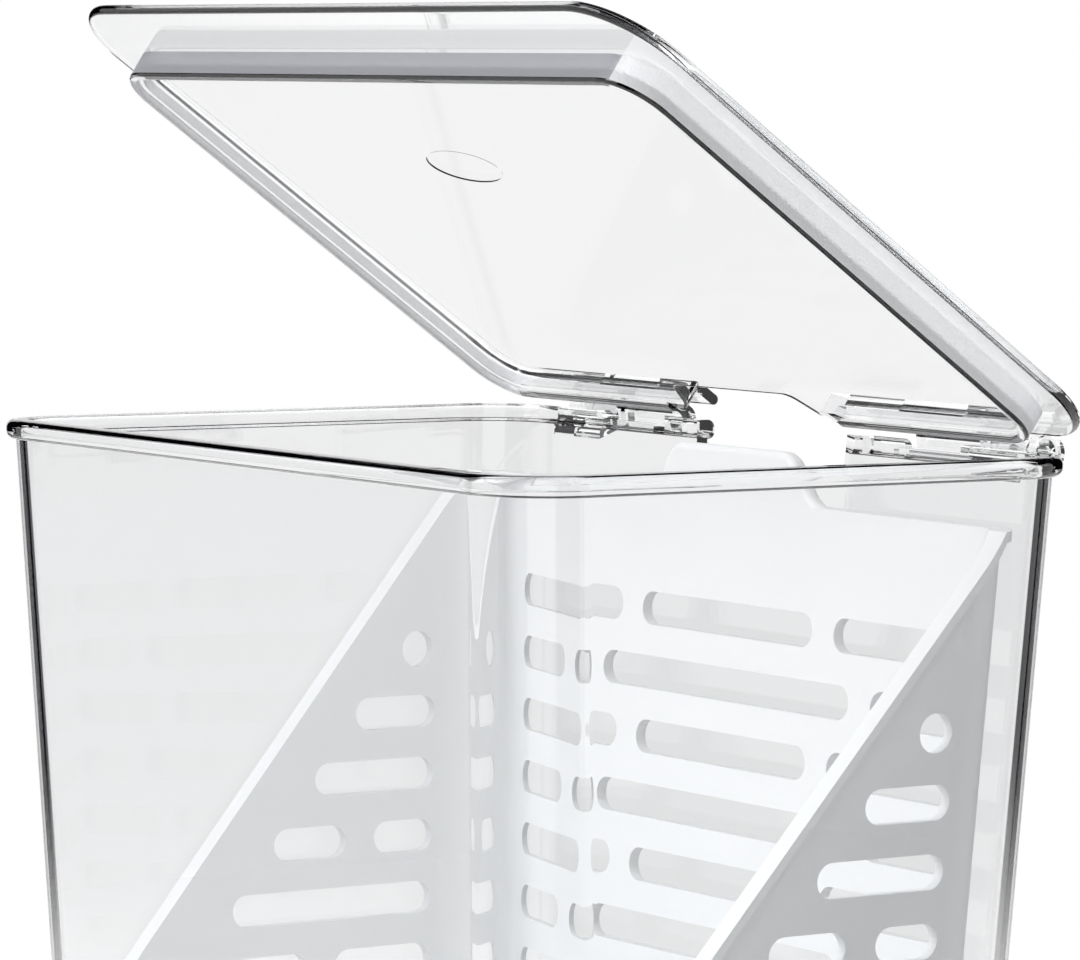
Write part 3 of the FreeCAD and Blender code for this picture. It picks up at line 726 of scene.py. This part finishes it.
def plug(inset, z):
    """A ring of the plug's leaning side at height z."""
    x = PLUG_HALF_X - PLUG_DRAFT - inset
    lean = PLUG_DRAFT * (z - PLUG_BOTTOM) / (PLATE_LOW + PLATE / 4 - PLUG_BOTTOM)
    front, rear = PLUG_FRONT + PLUG_DRAFT + inset, PLUG_REAR - PLUG_DRAFT - inset
    return x + lean, front - lean, rear + lean, PLUG_RADIUS - inset, z


def plate(inset, z):
    return PLATE_HALF_X - inset, PLATE_FRONT + inset, PLATE_REAR - inset, PLATE_RADIUS - inset, z


def tray(inset, z):
    """A ring of the hollow above the sunk panel."""
    gap = PLUG_WALL + inset
    return PLUG_HALF_X - gap, PLUG_FRONT + gap, PLUG_REAR - gap, PLUG_RADIUS - gap, z


def hollow(inset, z):
    """A ring of the shallow hollow under the panel, inside the rim."""
    gap = PLUG_DRAFT + PLUG_RIM_WIDTH + inset
    radius = PLUG_RADIUS - PLUG_RIM_WIDTH - inset
    return PLUG_HALF_X - gap, PLUG_FRONT + gap, PLUG_REAR - gap, radius, z


def lid_rows():
    """The section of the lid from the middle of the panel's underside, round the plate and into the tray.
    The second result numbers the rows whose faces are frosted."""
    edge = rounding(PLUG_ROUND, EDGE_STEPS)
    rows = [hollow(BESIDE, PLUG_LOW), hollow(0, PLUG_LOW)]
    rows += [hollow(-across, PLUG_BOTTOM + along) for across, along in reversed(edge)]
    rows += [plug(across, PLUG_BOTTOM + along) for across, along in edge]
    first = len(rows) - 1
    rows += [plug(0, PLUG_BOTTOM + PLUG_ROUND + BESIDE), plug(0, PLATE_LOW - BESIDE), plug(0, PLATE_LOW)]
    last = len(rows) - 1
    half = PLATE / 2
    rows += [plug(-BESIDE, PLATE_LOW), plate(half + BESIDE, PLATE_LOW)]
    rows += [plate(across, PLATE_LOW + along) for across, along in rounding(half)]
    rows += [plate(across, PLATE_LOW + PLATE - along) for across, along in reversed(rounding(half))][1:]
    rows += [plate(half + BESIDE, PLATE_LOW + PLATE), tray(-BESIDE, PLATE_LOW + PLATE)]
    floor_height = PLUG_LOW + PANEL
    rows += [tray(0, PLATE_LOW + PLATE), tray(0, PLATE_LOW + PLATE - BESIDE), tray(0, floor_height + BESIDE)]
    return rows + [tray(0, floor_height), tray(BESIDE, floor_height)], range(first, last)


def cut_outline():
    """The rear cut-out in plan: steep sides that flare out, rounded front corners."""
    front, steep, rear = CUT_HALF
    corner = Vector((front, CUT_FRONT))
    arm = (Vector((steep, CUT_STEEP)) - corner).normalized()
    inner = math.acos(arm.x * -1)
    reach = CUT_ROUND / math.tan(inner / 2)
    centre = Vector((front - reach, CUT_FRONT + CUT_ROUND))
    last = math.atan2(-arm.x, arm.y)
    turns = [-math.pi / 2 + (last + math.pi / 2) * i / ROUND_STEPS for i in range(ROUND_STEPS + 1)]
    side = [(centre.x + CUT_ROUND * math.cos(a), centre.y + CUT_ROUND * math.sin(a)) for a in turns]
    side += [(steep, CUT_STEEP), (rear, CUT_SHOULDER), (rear, PLATE_REAR + PAST)]
    return [(-x, y) for x, y in reversed(side)] + side


def grown(outline, by):
    """An outline moved outwards by a distance, kept counterclockwise."""
    points = [Vector(p) for p in outline]
    result = []
    for i, here in enumerate(points):
        a = (here - points[i - 1]).normalized()
        b = (points[(i + 1) % len(points)] - here).normalized()
        out = Vector((a.y + b.y, -a.x - b.x)).normalized()
        result.append(here + out * by / max(MITRE_LEAST, out.dot(Vector((a.y, -a.x)))))
    return result


def cut_out():
    """The cut-out as a cutter that widens by the small round of the panel's lower edge."""
    bm = bmesh.new()
    heights = [(PLUG_ROUND, PLUG_LOW - 1)]
    heights += [(across, PLUG_LOW + along) for across, along in rounding(PLUG_ROUND, EDGE_STEPS)]
    heights += [(0, PLATE_LOW + PLATE + 1)]
    loops = [[bm.verts.new((*p, z)) for p in grown(cut_outline(), by)] for by, z in heights]
    count = len(loops[0])
    for low, high in zip(loops, loops[1:]):
        for i in range(count):
            bm.faces.new((low[i], low[(i + 1) % count], high[(i + 1) % count], high[i]))
    bm.faces.new(reversed(loops[0]))
    bm.faces.new(loops[-1])
    return to_object(bm, "cut")


def badge():
    """Plain oval dimple on the underside of the panel."""
    turns = [2 * math.pi * i / ROD_STEPS for i in range(ROD_STEPS)]
    x, y = BADGE_HALF
    oval = [Vector((x * math.cos(a), BADGE_Y + y * math.sin(a), PLUG_LOW - 1)) for a in turns]
    dimple = extruded("badge", oval, Vector((0, 0, 1 + BADGE_DEPTH)))
    for material in LID_MATERIALS:
        dimple.data.materials.append(material)
    for face in dimple.data.polygons:
        face.material_index = 2 if abs(face.normal.z) > 0.5 else 0
    return dimple


def lid_arm(side):
    """Arm over the recess, with the pin that snaps into the knuckle."""
    a, b = sorted((side * ARM_IN, side * ARM_OUT))
    c, d = sorted((side * (ARM_IN + 1), side * (DISC_IN - PIN_END_GAP)))
    top = AXIS_Z + KNUCKLE_RADIUS
    under = (PLATE_REAR - PLATE / 2, PLATE_LOW + TOUCH)
    web = [(PLATE_REAR - ARM_ROOT, top), (AXIS_Y, top), (AXIS_Y, AXIS_Z), tangent_point(*under, 1), under]
    return [prism("arm", web, a, b), rod("barrel", a, b, KNUCKLE_RADIUS), rod("pin", c, d, PIN_RADIUS)]


def make_lid():
    rows, frosted = lid_rows()
    lid = swept("clear_lid", rows, LID_MATERIALS, frosted)
    gap = block("gap", -PLUG_RIM_END, PLUG_RIM_END, CUT_STEEP - PLUG_RIM_WIDTH, PLUG_REAR + PAST,
                PLUG_LOW - PAST, PLUG_LOW)
    combine(lid, "DIFFERENCE", [gap, cut_out(), badge()])
    combine(lid, "UNION", lid_arm(1) + lid_arm(-1))
    axis = Vector((0, AXIS_Y, AXIS_Z)) * MM
    turn = Matrix.Translation(axis) @ Matrix.Rotation(-LID_OPEN, 4, "X") @ Matrix.Translation(-axis)
    place(lid, turn)
    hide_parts("lid")
    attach(lid, "lid")


make_lid()

# %% [markdown]
# The basket is white polypropylene with a satin skin. Its tone drifts a little from the mould, and a fine
# grain keeps the light on it soft.

# %% White plastic
WHITE = (0.86, 0.87, 0.88, 1)
WHITE_DRIFT = 0.975      # the tone drifts down to this share of itself
WHITE_INDEX = 1.49
WHITE_ROUGHNESS = 0.42
WHITE_BUMP = (0.15, 0.0003)     # strength and depth of the grain


def white_plastic(name):
    material, tree = empty_material(name)
    moulded = surface_node(tree, (-700, 0), Roughness=WHITE_ROUGHNESS, Drift=0.12, Scale=40.0,
                           Grain_Scale=1600.0, Swell=0.3, Grain=0.25)
    tone = drifting(tree, moulded, WHITE, WHITE_DRIFT, (-450, 200))
    body = node(tree, "ShaderNodeBsdfPrincipled", (-100, 0), IOR=WHITE_INDEX)
    tree.links.new(tone, body.inputs["Base Color"])
    tree.links.new(moulded.outputs["Roughness"], body.inputs["Roughness"])
    grain = bumped(tree, moulded.outputs["Height"], *WHITE_BUMP, (-450, -200))
    tree.links.new(grain, body.inputs["Normal"])
    out = node(tree, "ShaderNodeOutputMaterial", (300, 0))
    tree.links.new(body.outputs[0], out.inputs[0])
    return material


white_basket = white_plastic("white basket")


def dress(name, material):
    mesh = nodes[name].data
    mesh.materials.clear()
    mesh.materials.append(material)


dress("basket", white_basket)
print("basket", len(nodes["basket"].data.polygons), "faces")
